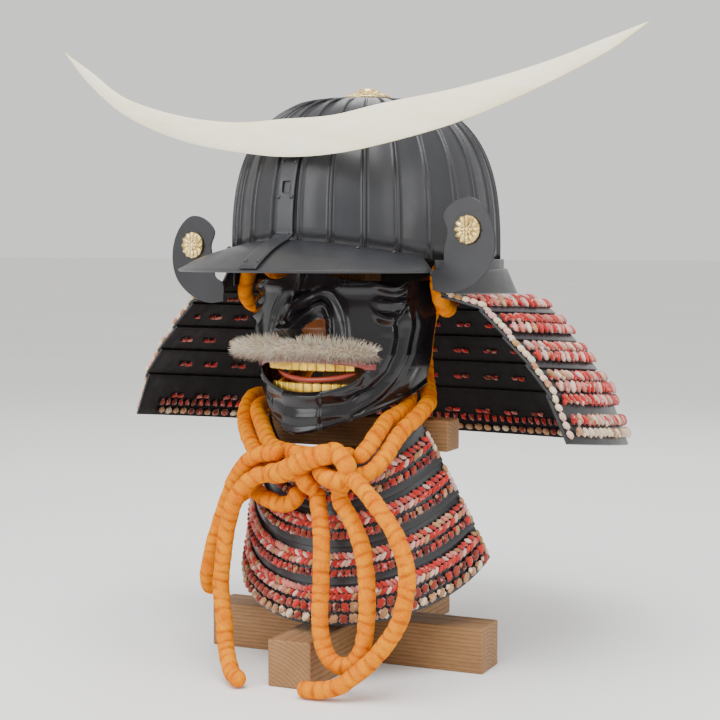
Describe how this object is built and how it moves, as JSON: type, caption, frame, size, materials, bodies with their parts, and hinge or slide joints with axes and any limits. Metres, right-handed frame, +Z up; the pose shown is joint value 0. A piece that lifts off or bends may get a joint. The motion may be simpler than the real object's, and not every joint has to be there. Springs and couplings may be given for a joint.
{
  "type": "kabuto samurai helmet with face mask and throat guard on a wooden stand",
  "caption": "Ribbed lacquered kabuto helmet with crescent crest, laced neck guard, black face mask, laced throat guard and orange chin cord, on a plain wooden stand.",
  "frame": {"origin": "on the floor under the middle of the helmet bowl", "axes": "+Z up, the face looks along -Y, +X is the wearer's left"},
  "size_m": [0.539, 0.4238, 0.517],
  "materials": {
    "dark_lacquer": "satin",
    "black_lacquer": "gloss",
    "pale_gold": "satin",
    "gilt": "polished",
    "lacing": "matte",
    "orange_cord": "matte",
    "hair": "matte",
    "pine": "matte"
  },
  "bodies": {
    "root": {"bowl": "dark_lacquer", "top_finial": "gilt", "visor": "dark_lacquer", "front_strap": "dark_lacquer", "crest_socket": "dark_lacquer", "crescent_crest": "pale_gold", "wing_left": "dark_lacquer", "rosette_left": "gilt", "wing_right": "dark_lacquer", "rosette_right": "gilt", "waist_band": "dark_lacquer", "neck_top_plate": "dark_lacquer", "neck_lame_1": "dark_lacquer", "neck_lacing_1": "lacing", "neck_lame_2": "dark_lacquer", "neck_lacing_2": "lacing", "neck_lame_3": "dark_lacquer", "neck_lacing_3": "lacing", "neck_lame_4": "dark_lacquer", "neck_lacing_4": "lacing", "neck_lame_5": "dark_lacquer", "neck_lacing_5": "lacing", "mask_shell": "black_lacquer", "upper_teeth": "gilt", "lower_teeth": "gilt", "moustache": "hair", "throat_lame_1": "dark_lacquer", "throat_lacing_1": "lacing", "throat_lame_2": "dark_lacquer", "throat_lacing_2": "lacing", "throat_lame_3": "dark_lacquer", "throat_lacing_3": "lacing", "throat_lame_4": "dark_lacquer", "throat_lacing_4": "lacing", "foot_rail_side": "pine", "foot_rail_front": "pine", "post_lower": "pine", "cross_bar": "pine", "post_upper": "pine", "head_block": "pine", "chin_cord_knot": "orange_cord", "cord_right_outer": "orange_cord", "cord_right_inner": "orange_cord", "cord_left_outer": "orange_cord", "cord_left_inner": "orange_cord", "cord_bow_side": "orange_cord", "cord_bow_front": "orange_cord", "cord_end_left": "orange_cord", "cord_end_right": "orange_cord"}
  },
  "joints": []
}
